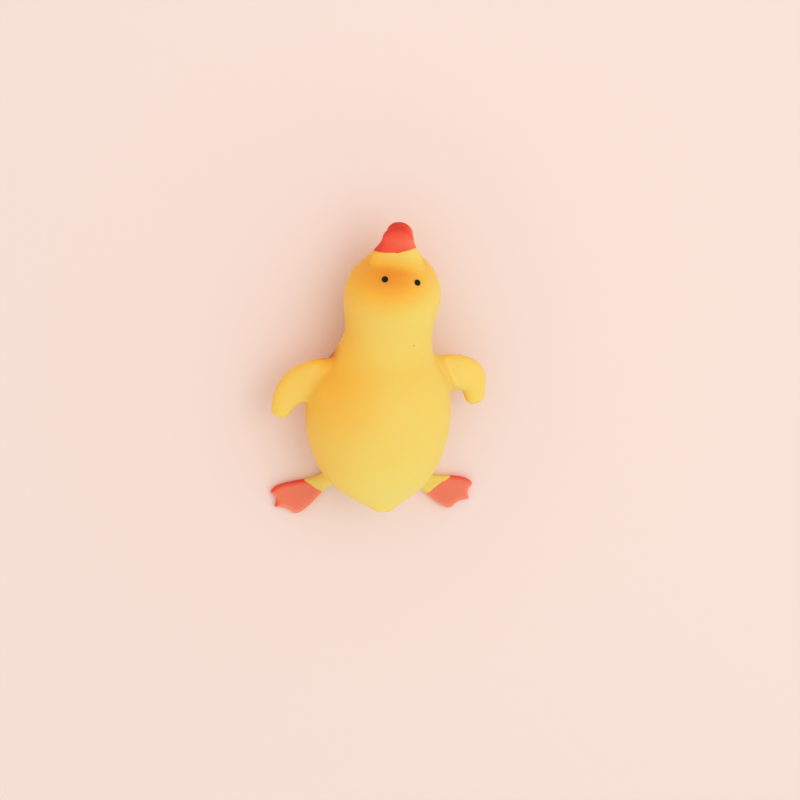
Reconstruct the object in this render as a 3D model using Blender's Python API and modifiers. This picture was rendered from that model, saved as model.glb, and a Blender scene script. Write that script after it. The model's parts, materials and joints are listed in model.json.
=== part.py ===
"""A soft toy duck that lies on its belly, for squeezing at a desk.

The duck is one closed rubber moulding. Its forms are lofts, which are rings of points that
pass through a few measured stations. The lofts overlap, a voxel remesh melts them into one
skin, smoothing rounds the joins as a mould does, and one flat cut makes the face it lies on.

Metres, +Z up. +Y points from the tail to the bill and +X to the duck's right. The origin is
on the table, under the widest part of the belly.
"""

import math
from collections import namedtuple

import bmesh
import bpy
import numpy as np
from mathutils import Matrix, Vector

# Belly and back, where the body is widest
BELLY_HALF_WIDTH = 0.0268
BELLY_WIDEST_UP = 0.0195
BELLY_HANG = 0.0026
BACK_TOP = 0.0420
BELLY_SHIFT = 0.0003

# The body from the tail to the shoulders: how far forward of the belly, and how big
TAIL_FORWARD = -0.0358
TAIL_SHIFT = 0.0006
TAIL_HALF_WIDTH = 0.0040
TAIL_THICKNESS = 0.0054
TAIL_UP = 0.0265
TAIL_ROUNDING = 0.0016
TAIL_ROOT_FORWARD = -0.0305
TAIL_ROOT_HALF_WIDTH = 0.0131
TAIL_ROOT_ABOVE = 0.0060
TAIL_ROOT_BELOW = 0.0090
RUMP_FORWARD = -0.0240
RUMP_SHIFT = -0.0002
RUMP_HALF_WIDTH = 0.0198
RUMP_TOP = 0.0366
RUMP_LOW = 0.0095
HIP_FORWARD = -0.0135
HIP_HALF_WIDTH = 0.0249
HIP_TOP = 0.0402
HIP_LOW = 0.0012
CHEST_FORWARD = 0.0110
CHEST_HALF_WIDTH = 0.0255
CHEST_TOP = 0.0392
CHEST_SHIFT = 0.0004
SHOULDER_FORWARD = 0.0195
SHOULDER_HALF_WIDTH = 0.0193
SHOULDER_TOP = 0.0352
SHOULDER_LOW = 0.0045
SHOULDER_SHIFT = 0.0016

# Neck and head, which lean to the duck's right
NECK_FORWARD = 0.0280
NECK_HALF_WIDTH = 0.0163
NECK_TOP = 0.0342
NECK_LOW = 0.0060
NECK_SHIFT = 0.0038
HEAD_FORWARD = 0.0423
HEAD_RADIUS = 0.0177
HEAD_UP = 0.0200
HEAD_SHIFT = 0.0053
HEAD_TURN = math.radians(3)

# Bill: it rises from the face, and the lower half shows past the upper one at the tip
BILL_PITCH = math.radians(18)
BILL_TURN = math.radians(1)
BILL_ROLL = math.radians(17)
BILL_ROOT_ANGLE = math.radians(27)
BILL_ROOT_DEPTH = 0.0060
BILL_SHIFT = 0.0001
BILL_ROOT_HALF_WIDTH = 0.0104
BILL_ROOT_THICKNESS = 0.0120
BILL_FACE_HALF_WIDTH = 0.0096
BILL_FACE_THICKNESS = 0.0086
UPPER_BILL_LENGTH = 0.0124
UPPER_BILL_TIP_HALF_WIDTH = 0.0060
UPPER_BILL_TIP_THICKNESS = 0.0052
LOWER_BILL_REACH = 0.0001
LOWER_BILL_DROP = 0.0044
LOWER_BILL_TIP_HALF_WIDTH = 0.0051
LOWER_BILL_TIP_THICKNESS = 0.0042
BILL_ROUNDING = 0.0050
BILL_FULLNESS = 2.5
BILL_PAINT_START = 0.0019
BILL_PAINT_LEAN = math.radians(7)
BILL_PAINT_BELOW = 0.0080

# Eyes: low round domes on the forehead
EYE_RADIUS = 0.0012
EYE_HEIGHT = 0.0005
EYE_SIDE_ANGLES = {"left": math.radians(17.8), "right": math.radians(20.3)}
EYE_RISE_ANGLES = {"left": math.radians(58.4), "right": math.radians(64.3)}

# Wings: each bend is how far out, how far forward and how wide, because soft wings bend unlike
WING_DROOP = math.radians(15)
WING_ROOT_UP = 0.0210
WING_ROOT_SINK = 0.0130
WING_ROOT_FORWARD = 0.0125
WING_ROOT_HALF_WIDTH = 0.0076
WING_ROOT_THICKNESS = 0.0100
WING_TIP_THICKNESS = 0.0054
WING_ROUNDING = 0.0030
WING_BENDS = {
    "left": [
        (0.0030, 0.0122, 0.0075),
        (0.0092, 0.0099, 0.0066),
        (0.0135, 0.0052, 0.0051),
        (0.0155, 0.0006, 0.0038),
    ],
    "right": [
        (0.0030, 0.0126, 0.0070),
        (0.0092, 0.0127, 0.0067),
        (0.0149, 0.0098, 0.0064),
        (0.0167, 0.0028, 0.0041),
    ],
}

# Legs and webbed feet, flat on the table behind the body
LEG_ROOT_SINK = 0.0110
LEG_ROOT_FORWARD = -0.0233
LEG_ROOT_UP = 0.0103
THIGH_RADIUS = 0.0045
ANKLES = {"left": (0.0175, -0.0299), "right": (0.0197, -0.0307)}
ANKLE_HALF_WIDTH = 0.0030
ANKLE_THICKNESS = 0.0048

# A foot is a flat plate: its outline is a reach and an angle back, round the ankle
FOOT_THICKNESS = 0.0032
FOOT_TURNS = {"left": math.radians(2.5), "right": 0.0}
FOOT_FRONT = [
    (0.0030, math.radians(-80)),
    (0.0045, math.radians(-20)),
    (0.0075, math.radians(-9)),
    (0.0115, math.radians(-4)),
    (0.0147, math.radians(-1.5)),
    (0.0177, math.radians(1.8)),
]
TOE_TIPS = [(0.0202, math.radians(7.5)), (0.0202, math.radians(24.3)), (0.0162, math.radians(44))]
WEB_CUTS = [0.0016, 0.0012]
FOOT_REAR = [
    (0.0158, math.radians(47.5)),
    (0.0144, math.radians(50.5)),
    (0.0120, math.radians(55.5)),
    (0.0092, math.radians(61)),
    (0.0064, math.radians(69)),
    (0.0040, math.radians(88)),
    (0.0028, math.radians(130)),
]

# The feet are dipped in paint up to a straight line, which each foot has in its own place
FOOT_PAINT_ANGLE = math.radians(57)
FOOT_PAINT_STARTS = {"left": 0.0034, "right": 0.0054}
FOOT_PAINT_TOP = 0.0080

# Skin: how finely the forms are melted together, and how round the joins are. Thin feet and the
# bill keep their shape, with only a share of the rounding.
SKIN_STEP = 0.0007
SKIN_ROUNDS = 10
SKIN_TRIANGLES = 8600
FINE_SHARE = 0.30
FINE_UP = 0.0035
FULL_ROUNDING_UP = 0.0080
BILL_FINE_AHEAD = 0.0040
BILL_FINE_REACH = 0.0125
BILL_FULL_ROUNDING_REACH = 0.0187
RING_POINTS = 36
CAP_ROWS = 6
WEB_CUT_POINTS = 6
LOFT_STEP = 0.0015
BODY_FULLNESS = 2.2
TABLE_BLOCK_THICKNESS = 0.0200

# Looks of the three material slots: colour and roughness
LOOKS = {
    "yellow_rubber": ((0.87, 0.57, 0.12), 0.52),
    "orange_paint": ((0.84, 0.16, 0.07), 0.42),
    "black_paint": ((0.01, 0.01, 0.012), 0.22),
}

UP = Vector((0, 0, 1))
SIDES = {"left": -1, "right": 1}

Station = namedtuple("Station", "x y z half_width above below")


def clear_scene():
    """Remove what the file already holds."""
    for thing in list(bpy.data.objects):
        bpy.data.objects.remove(thing, do_unlink=True)


def make_material(name, colour, roughness):
    """Make a Principled material of one colour."""
    material = bpy.data.materials.new(name)
    material.use_nodes = True
    shader = material.node_tree.nodes["Principled BSDF"]
    shader.inputs["Base Color"].default_value = (*colour, 1)
    shader.inputs["Roughness"].default_value = roughness
    return material


def smooth_stations(stations, step, blunt):
    """Return rows of station values, one step apart, on a smooth curve through the stations.

    A blunt end keeps its width where the round cap begins, and any other end tapers on.
    """
    values = np.array(stations, dtype=float)
    gaps = np.linalg.norm(np.diff(values[:, :3], axis=0), axis=1)
    along = np.concatenate(([0.0], np.cumsum(gaps)))
    slopes = np.gradient(values, along, axis=0)
    for end, is_blunt in zip((0, -1), blunt):
        if is_blunt:
            slopes[end, 3:] = 0
    rows = []
    for index, gap in enumerate(gaps):
        count = max(2, round(gap / step))
        for part in range(count):
            t = part / count
            rows.append(
                (2 * t**3 - 3 * t**2 + 1) * values[index]
                + (t**3 - 2 * t**2 + t) * gap * slopes[index]
                + (3 * t**2 - 2 * t**3) * values[index + 1]
                + (t**3 - t**2) * gap * slopes[index + 1]
            )
    rows.append(values[-1])
    return rows


def cap_rows(row, towards, length):
    """Return rows that close a loft's end with a round cap, the widest one first."""
    rows = []
    for part in range(1, CAP_ROWS):
        angle = math.radians(90) * part / CAP_ROWS
        capped = row * math.cos(angle)
        capped[:3] = row[:3] + np.array(towards) * length * math.sin(angle)
        rows.append(capped)
    return rows


def add_loft(
    mesh, stations, caps, up=UP, across=None, cap_way=None, blunt=(True, True), fullness=BODY_FULLNESS
):
    """Add a closed form with round ends to the mesh: a ring at each row of the stations.

    Each ring stands across the form's path, or along the given direction across, and the last cap
    points along the path, or along the given cap way.
    """
    rows = smooth_stations(stations, LOFT_STEP, blunt)
    centres = [Vector(row[:3]) for row in rows]
    first_way = (centres[0] - centres[1]).normalized()
    last_way = cap_way or (centres[-1] - centres[-2]).normalized()
    before, after = [centres[0]] + centres, centres[1:] + [centres[-1]]
    tangents = [(ahead - behind).normalized() for behind, ahead in zip(before, after)]
    start = cap_rows(rows[0], first_way, caps[0])
    end = cap_rows(rows[-1], last_way, caps[1])
    rows = start[::-1] + rows + end
    tangents = [-first_way] * len(start) + tangents + [last_way] * len(end)

    rings = []
    for row, tangent in zip(rows, tangents):
        rings.append(add_ring(mesh, row, across or tangent.cross(up).normalized(), up, fullness))
    for ring, following in zip(rings, rings[1:]):
        for i in range(RING_POINTS):
            j = (i + 1) % RING_POINTS
            mesh.faces.new((ring[i], ring[j], following[j], following[i]))
    close_ring(mesh, rings[0][::-1], centres[0] + first_way * caps[0])
    close_ring(mesh, rings[-1], centres[-1] + last_way * caps[1])


def add_ring(mesh, row, across, up, fullness):
    """Add one ring: a slightly squared ellipse with its own height above and below."""
    centre = Vector(row[:3])
    half_width, above, below = row[3:]
    ring = []
    for i in range(RING_POINTS):
        angle = 2 * math.pi * i / RING_POINTS
        wide = math.copysign(abs(math.cos(angle)) ** (2 / fullness), math.cos(angle))
        tall = math.copysign(abs(math.sin(angle)) ** (2 / fullness), math.sin(angle))
        height = above if tall > 0 else below
        ring.append(mesh.verts.new(centre + across * wide * half_width + up * tall * height))
    return ring


def close_ring(mesh, ring, tip):
    """Close a loft's last ring with a fan of triangles."""
    pole = mesh.verts.new(tip)
    for i in range(len(ring)):
        mesh.faces.new((ring[i], ring[(i + 1) % len(ring)], pole))


def body_station(forward, shift, half_width, low, high):
    """Return a station of the body, which is widest as far up as the belly is."""
    widest = low + (high - low) * BELLY_WIDEST_UP / BACK_TOP
    return Station(shift, forward, widest, half_width, high - widest, widest - low)


def add_body(mesh):
    """Add tail, belly, neck and the back half of the head as one loft, with the face as its cap."""
    tail_low, tail_top = TAIL_UP - TAIL_THICKNESS / 2, TAIL_UP + TAIL_THICKNESS / 2
    root_low, root_top = TAIL_UP - TAIL_ROOT_BELOW, TAIL_UP + TAIL_ROOT_ABOVE
    stations = [
        body_station(TAIL_FORWARD, TAIL_SHIFT, TAIL_HALF_WIDTH, tail_low, tail_top),
        body_station(TAIL_ROOT_FORWARD, 0, TAIL_ROOT_HALF_WIDTH, root_low, root_top),
        body_station(RUMP_FORWARD, RUMP_SHIFT, RUMP_HALF_WIDTH, RUMP_LOW, RUMP_TOP),
        body_station(HIP_FORWARD, 0, HIP_HALF_WIDTH, HIP_LOW, HIP_TOP),
        body_station(0, BELLY_SHIFT, BELLY_HALF_WIDTH, -BELLY_HANG, BACK_TOP),
        body_station(CHEST_FORWARD, CHEST_SHIFT, CHEST_HALF_WIDTH, -BELLY_HANG, CHEST_TOP),
        body_station(SHOULDER_FORWARD, SHOULDER_SHIFT, SHOULDER_HALF_WIDTH, SHOULDER_LOW, SHOULDER_TOP),
        body_station(NECK_FORWARD, NECK_SHIFT, NECK_HALF_WIDTH, NECK_LOW, NECK_TOP),
        Station(HEAD_SHIFT, HEAD_FORWARD, HEAD_UP, HEAD_RADIUS, HEAD_RADIUS, HEAD_RADIUS),
    ]
    add_loft(
        mesh,
        stations,
        caps=(TAIL_ROUNDING, HEAD_RADIUS),
        across=Vector((1, 0, 0)),
        cap_way=Vector((math.sin(HEAD_TURN), math.cos(HEAD_TURN), 0)),
        blunt=(False, True),
    )


def bill_seat():
    """Return where the bill leaves the face, and its directions ahead and up."""
    head = Vector((HEAD_SHIFT + BILL_SHIFT, HEAD_FORWARD, HEAD_UP))
    face = head + Vector((0, math.cos(BILL_ROOT_ANGLE), math.sin(BILL_ROOT_ANGLE))) * HEAD_RADIUS
    ahead = Vector((math.sin(BILL_TURN), math.cos(BILL_TURN), math.tan(BILL_PITCH))).normalized()
    level_up = Vector((1, 0, 0)).cross(ahead).normalized()
    up = Matrix.Rotation(-BILL_ROLL, 3, ahead) @ level_up
    return face, ahead, up


def add_bill(mesh):
    """Add the upper and the lower half of the bill, which start inside the head."""
    face, ahead, up = bill_seat()
    root = face - ahead * BILL_ROOT_DEPTH
    upper_tip = face + ahead * (UPPER_BILL_LENGTH - BILL_ROUNDING)
    lower_tip = upper_tip + ahead * LOWER_BILL_REACH - up * LOWER_BILL_DROP
    root_half = BILL_ROOT_THICKNESS / 2
    face_half = BILL_FACE_THICKNESS / 2
    upper_half = UPPER_BILL_TIP_THICKNESS / 2
    lower_half = LOWER_BILL_TIP_THICKNESS / 2
    upper_bill = [
        Station(*root, BILL_ROOT_HALF_WIDTH, root_half, root_half),
        Station(*face, BILL_FACE_HALF_WIDTH, face_half, face_half),
        Station(*upper_tip, UPPER_BILL_TIP_HALF_WIDTH, upper_half, upper_half),
    ]
    lower_bill = [
        Station(*(root - up * LOWER_BILL_DROP), BILL_FACE_HALF_WIDTH, face_half, face_half),
        Station(*lower_tip, LOWER_BILL_TIP_HALF_WIDTH, lower_half, lower_half),
    ]
    for stations in (upper_bill, lower_bill):
        add_loft(mesh, stations, up=up, caps=(BILL_ROUNDING, BILL_ROUNDING), fullness=BILL_FULLNESS)


def add_wing(mesh, side):
    """Add a paddle that leaves the body's flank, droops and bends back."""
    sign = SIDES[side]
    flank = BELLY_HALF_WIDTH - WING_ROOT_SINK / 2
    up = Vector((sign * math.sin(WING_DROOP), 0, math.cos(WING_DROOP)))
    bends = WING_BENDS[side]
    root = WING_ROOT_THICKNESS / 2
    inside = sign * (flank - WING_ROOT_SINK / 2)
    stations = [Station(inside, WING_ROOT_FORWARD, WING_ROOT_UP, WING_ROOT_HALF_WIDTH, root, root)]
    for index, (out, forward, half_width) in enumerate(bends):
        share = (index + 1) / len(bends)
        half = root + (WING_TIP_THICKNESS / 2 - root) * share
        drop = math.tan(WING_DROOP) * out
        stations.append(Station(sign * (flank + out), forward, WING_ROOT_UP - drop, half_width, half, half))
    add_loft(mesh, stations, up=up, caps=(WING_ROUNDING, WING_ROUNDING))


def ankle_place(side):
    """Return the middle of one ankle."""
    out, forward = ANKLES[side]
    return Vector((SIDES[side] * out, forward, ANKLE_THICKNESS / 2))


def add_leg(mesh, side):
    """Add a short leg from inside the rump to the ankle on the table."""
    ankle = ankle_place(side)
    leg_root = (SIDES[side] * (RUMP_HALF_WIDTH - LEG_ROOT_SINK), LEG_ROOT_FORWARD, LEG_ROOT_UP)
    stations = [
        Station(*leg_root, THIGH_RADIUS, THIGH_RADIUS, THIGH_RADIUS),
        Station(*ankle, ANKLE_HALF_WIDTH, ANKLE_THICKNESS / 2, ANKLE_THICKNESS / 2),
    ]
    add_loft(mesh, stations, caps=(THIGH_RADIUS, ANKLE_HALF_WIDTH))


def foot_point(side, reach, angle):
    """Return a point of a foot on the table, from its reach and its angle back round the ankle."""
    ankle = ankle_place(side)
    turned = angle + FOOT_TURNS[side]
    return Vector((ankle.x + SIDES[side] * reach * math.cos(turned), ankle.y - reach * math.sin(turned), 0))


def web_edge(start, end, depth, ankle):
    """Return the points of a web's edge between two toe tips, cut back towards the ankle."""
    inwards = (ankle - (start + end) / 2).normalized()
    shares = [index / WEB_CUT_POINTS for index in range(1, WEB_CUT_POINTS)]
    return [start.lerp(end, share) + inwards * depth * 4 * share * (1 - share) for share in shares]


def add_foot(mesh, side):
    """Add a foot's flat plate: front edge, toe tips with the webs between them, and rear edge."""
    ankle = ankle_place(side)
    ankle.z = 0
    tips = [foot_point(side, *tip) for tip in TOE_TIPS]
    outline = [foot_point(side, *point) for point in FOOT_FRONT] + [tips[0]]
    for start, end, depth in zip(tips, tips[1:], WEB_CUTS):
        outline += web_edge(start, end, depth, ankle) + [end]
    outline += [foot_point(side, *point) for point in FOOT_REAR]
    sole = mesh.faces.new([mesh.verts.new(point) for point in outline])
    raised = bmesh.ops.extrude_face_region(mesh, geom=[sole])["geom"]
    corners = [item for item in raised if isinstance(item, bmesh.types.BMVert)]
    bmesh.ops.translate(mesh, verts=corners, vec=UP * FOOT_THICKNESS)


def make_forms(collection):
    """Build every loft in one mesh: the forms overlap and are not joined yet."""
    mesh = bmesh.new()
    add_body(mesh)
    add_bill(mesh)
    for side in SIDES:
        add_wing(mesh, side)
        add_leg(mesh, side)
        add_foot(mesh, side)
    bmesh.ops.recalc_face_normals(mesh, faces=mesh.faces)
    data = bpy.data.meshes.new("duck")
    mesh.to_mesh(data)
    mesh.free()
    duck = bpy.data.objects.new("duck", data)
    collection.objects.link(duck)
    return duck


def make_table_block(collection):
    """Make the block below the table, which cuts the flat resting face."""
    bpy.ops.mesh.primitive_cube_add(size=1)
    block = bpy.context.active_object
    block.name = "table_block"
    length = 2 * (HEAD_FORWARD + HEAD_RADIUS + UPPER_BILL_LENGTH)
    size = Matrix.Diagonal((length, length, TABLE_BLOCK_THICKNESS, 1))
    block.data.transform(Matrix.Translation((0, 0, -TABLE_BLOCK_THICKNESS / 2)) @ size)
    move_to_cutters(block, collection)
    return block


def make_eye(skin, collection, side):
    """Make a low dome, half sunk in the forehead where a line from the head's middle meets it."""
    aside, rise = EYE_SIDE_ANGLES[side], EYE_RISE_ANGLES[side]
    level = math.cos(aside)
    out = Vector((SIDES[side] * math.sin(aside), level * math.cos(rise), level * math.sin(rise)))
    middle = Vector((HEAD_SHIFT, HEAD_FORWARD, HEAD_UP))
    seat = skin.ray_cast(middle + out * 2 * HEAD_RADIUS, -out)[1]
    bpy.ops.mesh.primitive_uv_sphere_add(segments=16, ring_count=8, radius=1)
    eye = bpy.context.active_object
    eye.name = f"{side}_eye_dome"
    turn = out.to_track_quat("Z", "Y").to_matrix().to_4x4()
    flatten = Matrix.Diagonal((EYE_RADIUS, EYE_RADIUS, EYE_HEIGHT, 1))
    eye.data.transform(Matrix.Translation(seat) @ turn @ flatten)
    move_to_cutters(eye, collection)
    return eye, seat


def move_to_cutters(thing, collection):
    """Keep a helper in the cutters' collection, drawn as wire and left out of renders."""
    for owner in list(thing.users_collection):
        owner.objects.unlink(thing)
    collection.objects.link(thing)
    thing.hide_render = True
    thing.display_type = "WIRE"


def between(value, low, high):
    """Return how far a value lies between two others, from 0 to 1."""
    return min(1, max(0, (value - low) / (high - low)))


def rounding_share(point, bill_middle):
    """Return how much of the rounding a point gets: all of it, or less at the feet and the bill."""
    off_table = between(point.z, FINE_UP, FULL_ROUNDING_UP)
    off_bill = between((point - bill_middle).length, BILL_FINE_REACH, BILL_FULL_ROUNDING_REACH)
    return FINE_SHARE + (1 - FINE_SHARE) * min(off_table, off_bill)


def melt_into_skin(duck):
    """Melt the forms into one skin, round its joins and keep only the triangles it needs."""
    remesh = duck.modifiers.new("melt together", "REMESH")
    remesh.mode = "VOXEL"
    remesh.voxel_size = SKIN_STEP
    finish_mesh(duck)
    face, ahead, _ = bill_seat()
    bill_middle = face + ahead * BILL_FINE_AHEAD
    group = duck.vertex_groups.new(name="rounding")
    for vertex in duck.data.vertices:
        group.add([vertex.index], rounding_share(vertex.co, bill_middle), "REPLACE")
    smooth = duck.modifiers.new("round the joins", "SMOOTH")
    smooth.factor = 0.5
    smooth.iterations = SKIN_ROUNDS
    smooth.vertex_group = group.name
    triangles = sum(len(polygon.vertices) - 2 for polygon in duck.data.polygons)
    reduce = duck.modifiers.new("fewer triangles", "DECIMATE")
    reduce.ratio = min(1, SKIN_TRIANGLES / triangles)
    reduce.use_collapse_triangulate = True


def add_boolean(duck, name, operation, other):
    """Cut or join with another closed mesh, with the exact solver."""
    boolean = duck.modifiers.new(name, "BOOLEAN")
    boolean.operation = operation
    boolean.solver = "EXACT"
    boolean.object = other


def finish_mesh(duck):
    """Turn the modifiers' result into a plain mesh."""
    evaluated = duck.evaluated_get(bpy.context.evaluated_depsgraph_get())
    mesh = bpy.data.meshes.new_from_object(evaluated)
    duck.modifiers.clear()
    duck.data = mesh


def paint_faces(duck, eyes):
    """Give the bill, the feet and the eyes their paint, face by face."""
    duck.data.materials.clear()
    for name, (colour, roughness) in LOOKS.items():
        duck.data.materials.append(make_material(name, colour, roughness))
    orange, black = 1, 2
    bill_face, _, bill_up = bill_seat()
    bill_way = Vector((0, math.cos(BILL_PAINT_LEAN), -math.sin(BILL_PAINT_LEAN)))
    for polygon in duck.data.polygons:
        centre = polygon.center
        from_bill = centre - bill_face
        if from_bill.dot(bill_way) > BILL_PAINT_START and from_bill.dot(bill_up) > -BILL_PAINT_BELOW:
            polygon.material_index = orange
        for side, sign in SIDES.items():
            edge = Vector((sign * math.cos(FOOT_PAINT_ANGLE), -math.sin(FOOT_PAINT_ANGLE), 0))
            past = (centre - ankle_place(side)).dot(edge) > FOOT_PAINT_STARTS[side]
            if past and centre.z < FOOT_PAINT_TOP:
                polygon.material_index = orange
        if any((centre - eye).length < EYE_RADIUS for eye in eyes):
            polygon.material_index = black


def main():
    clear_scene()
    parts = bpy.data.collections.new("soft_duck")
    cutters = bpy.data.collections.new("cutters")
    bpy.context.scene.collection.children.link(parts)
    bpy.context.scene.collection.children.link(cutters)
    duck = make_forms(parts)
    melt_into_skin(duck)
    skin = duck.evaluated_get(bpy.context.evaluated_depsgraph_get())
    eyes = [make_eye(skin, cutters, side) for side in SIDES]
    add_boolean(duck, "flat belly", "DIFFERENCE", make_table_block(cutters))
    for eye, _ in eyes:
        add_boolean(duck, eye.name, "UNION", eye)
    finish_mesh(duck)
    paint_faces(duck, [seat for _, seat in eyes])


main()
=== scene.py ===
# %% [markdown]
# # A soft moulded duck, dressed for its portrait
#
# The real object is a squeeze toy: one closed moulding of soft rubber, lying on its belly.
# The imported CAD model gives its size and its place, so it is loaded first and nothing of it is moved.

# %% Load the frame
import json
import math
from collections import namedtuple

import bmesh
import bpy
import numpy as np
from mathutils import Matrix, Vector

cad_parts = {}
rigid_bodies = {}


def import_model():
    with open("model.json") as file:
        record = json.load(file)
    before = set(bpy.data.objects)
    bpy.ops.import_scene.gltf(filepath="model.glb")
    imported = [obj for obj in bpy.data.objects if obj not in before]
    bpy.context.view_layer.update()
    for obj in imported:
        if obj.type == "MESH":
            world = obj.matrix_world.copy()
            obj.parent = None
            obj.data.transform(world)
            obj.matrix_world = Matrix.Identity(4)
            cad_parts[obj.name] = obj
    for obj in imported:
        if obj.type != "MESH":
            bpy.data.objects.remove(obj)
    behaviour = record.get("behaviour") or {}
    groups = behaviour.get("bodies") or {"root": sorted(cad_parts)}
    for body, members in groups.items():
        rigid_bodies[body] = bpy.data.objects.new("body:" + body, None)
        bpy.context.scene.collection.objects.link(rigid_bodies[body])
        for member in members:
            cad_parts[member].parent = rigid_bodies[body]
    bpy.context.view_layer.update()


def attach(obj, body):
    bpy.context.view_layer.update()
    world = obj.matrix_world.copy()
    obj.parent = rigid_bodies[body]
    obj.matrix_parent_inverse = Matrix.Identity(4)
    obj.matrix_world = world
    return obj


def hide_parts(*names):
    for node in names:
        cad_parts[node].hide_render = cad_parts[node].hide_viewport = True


for leftover in list(bpy.data.objects):
    bpy.data.objects.remove(leftover, do_unlink=True)
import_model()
scene = bpy.context.scene

# %% [markdown]
# ## Small helpers
#
# Colours are written as on a paint card, in sRGB hex, and the renderer wants linear light. One
# function turns one into the other. A second one adds a node, fills its inputs and returns it,
# so that a tree of nodes reads from top to bottom like a recipe. The others add the kinds of node
# that the recipes use most: sums, sums with vectors, noise of a real size, and mixed colours.


# %% Colours and nodes
def linear(hex_colour):
    """Turn an sRGB hex colour into the linear RGBA that shaders take."""
    channels = [int(hex_colour[i : i + 2], 16) / 255 for i in (1, 3, 5)]
    return (*[c / 12.92 if c <= 0.04045 else ((c + 0.055) / 1.055) ** 2.4 for c in channels], 1)


def add_node(tree, kind, inputs=None, **settings):
    """Add a node with its settings, and set or link its inputs by name or number."""
    node = tree.nodes.new(kind)
    for name, value in settings.items():
        setattr(node, name, value)
    for key, value in (inputs or {}).items():
        if isinstance(value, bpy.types.NodeSocket):
            tree.links.new(value, node.inputs[key])
        else:
            node.inputs[key].default_value = value
    return node


def calculated(tree, operation, *values):
    """Add a math node on the values in their order, and return its result."""
    return add_node(tree, "ShaderNodeMath", dict(enumerate(values)), operation=operation).outputs[0]


def from_vectors(tree, operation, *values):
    """Add a vector math node on the values in their order, and return its outputs by name."""
    node = add_node(tree, "ShaderNodeVectorMath", dict(enumerate(values)), operation=operation)
    return node.outputs


def noise(tree, place, size, detail=1.0):
    """Add a noise whose blotches have about the given size in metres, and return its value."""
    inputs = {"Vector": place, "Scale": 1 / size, "Detail": detail}
    return add_node(tree, "ShaderNodeTexNoise", inputs).outputs["Fac"]


def mixed_colour(tree, share, first, second):
    """Mix two colours by a share, through the colour sockets of a Mix node: 6, 7 and output 2."""
    mix = add_node(tree, "ShaderNodeMix", {0: share, 6: first, 7: second}, data_type="RGBA")
    return mix.outputs[2]


print("#F2DA6E in linear light:", [round(c, 3) for c in linear("#F2DA6E")])

# %% [markdown]
# ## Camera
#
# The duck lies on its belly and is seen from above, a little from its left and from ahead. From
# far away with a long lens the lines stay almost parallel, as in a catalogue picture. The camera's
# right and up follow from its direction, so one vector sets the whole view.

# %% Camera
VIEW_TOWARDS = Vector((-0.190, 0.204, 0.960)).normalized()
PICTURE_WIDTH = 0.29336
PICTURE_RIGHT_OF_ORIGIN = 0.01192
PICTURE_ABOVE_ORIGIN = -0.00044
MID_HEIGHT = 0.020
LENS_MM = 300

picture_right = Vector((VIEW_TOWARDS.z, 0, -VIEW_TOWARDS.x)).normalized()
picture_up = VIEW_TOWARDS.cross(picture_right)
camera = bpy.data.objects.new("camera", bpy.data.cameras.new("camera"))
scene.collection.objects.link(camera)
camera.data.lens = LENS_MM
distance = PICTURE_WIDTH * camera.data.lens / camera.data.sensor_width + MID_HEIGHT * VIEW_TOWARDS.z
aim = picture_right * PICTURE_RIGHT_OF_ORIGIN + picture_up * PICTURE_ABOVE_ORIGIN
turned_to_view = Matrix((picture_right, picture_up, VIEW_TOWARDS)).transposed().to_4x4()
camera.matrix_world = Matrix.Translation(aim + VIEW_TOWARDS * distance) @ turned_to_view
scene.camera = camera
print("camera distance in m:", round(distance, 2))

# %% [markdown]
# ## Floor and light
#
# A plain pale floor and soft studio light. The large lamp stands high on the duck's right, towards
# its head, because in the photograph the soft shadows lie below and to the left. The pale room fills
# the rest, so that no shadow goes dark. The camera sees the floor's colour beyond the floor's rim,
# while everything else is lit by the paler room.

# %% Floor, world and lamp
FLOOR_COLOUR = "#F6E3DC"
FLOOR_RADIUS = 6.0
FLOOR_SIDES = 96
ROOM_COLOUR = "#FFFAF5"
ROOM_LEVEL = 0.91
LAMP_DIRECTION = Vector((0.30, 0.20, 0.93)).normalized()
LAMP_DISTANCE = 0.9
LAMP_SIZE = 0.60
LAMP_POWER = 1.05

bpy.ops.mesh.primitive_circle_add(vertices=FLOOR_SIDES, radius=FLOOR_RADIUS, fill_type="NGON")
floor = bpy.context.active_object
floor.name = "floor"
floor_paint = bpy.data.materials.new("matt_emulsion_floor")
floor_paint.use_nodes = True
floor_shader = floor_paint.node_tree.nodes["Principled BSDF"]
floor_shader.inputs["Base Color"].default_value = linear(FLOOR_COLOUR)
floor_shader.inputs["Roughness"].default_value = 0.9
floor_shader.inputs["Specular IOR Level"].default_value = 0.2
floor.data.materials.append(floor_paint)

world = bpy.data.worlds.new("pale_room")
scene.world = world
world.use_nodes = True
room = world.node_tree
room.nodes.clear()
rays = add_node(room, "ShaderNodeLightPath")
backdrop = add_node(room, "ShaderNodeBackground", {"Color": linear(FLOOR_COLOUR), "Strength": 1.0})
soft_fill = add_node(room, "ShaderNodeBackground", {"Color": linear(ROOM_COLOUR), "Strength": ROOM_LEVEL})
seen = add_node(
    room,
    "ShaderNodeMixShader",
    {0: rays.outputs["Is Camera Ray"], 1: soft_fill.outputs[0], 2: backdrop.outputs[0]},
)
add_node(room, "ShaderNodeOutputWorld", {"Surface": seen.outputs[0]})

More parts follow.
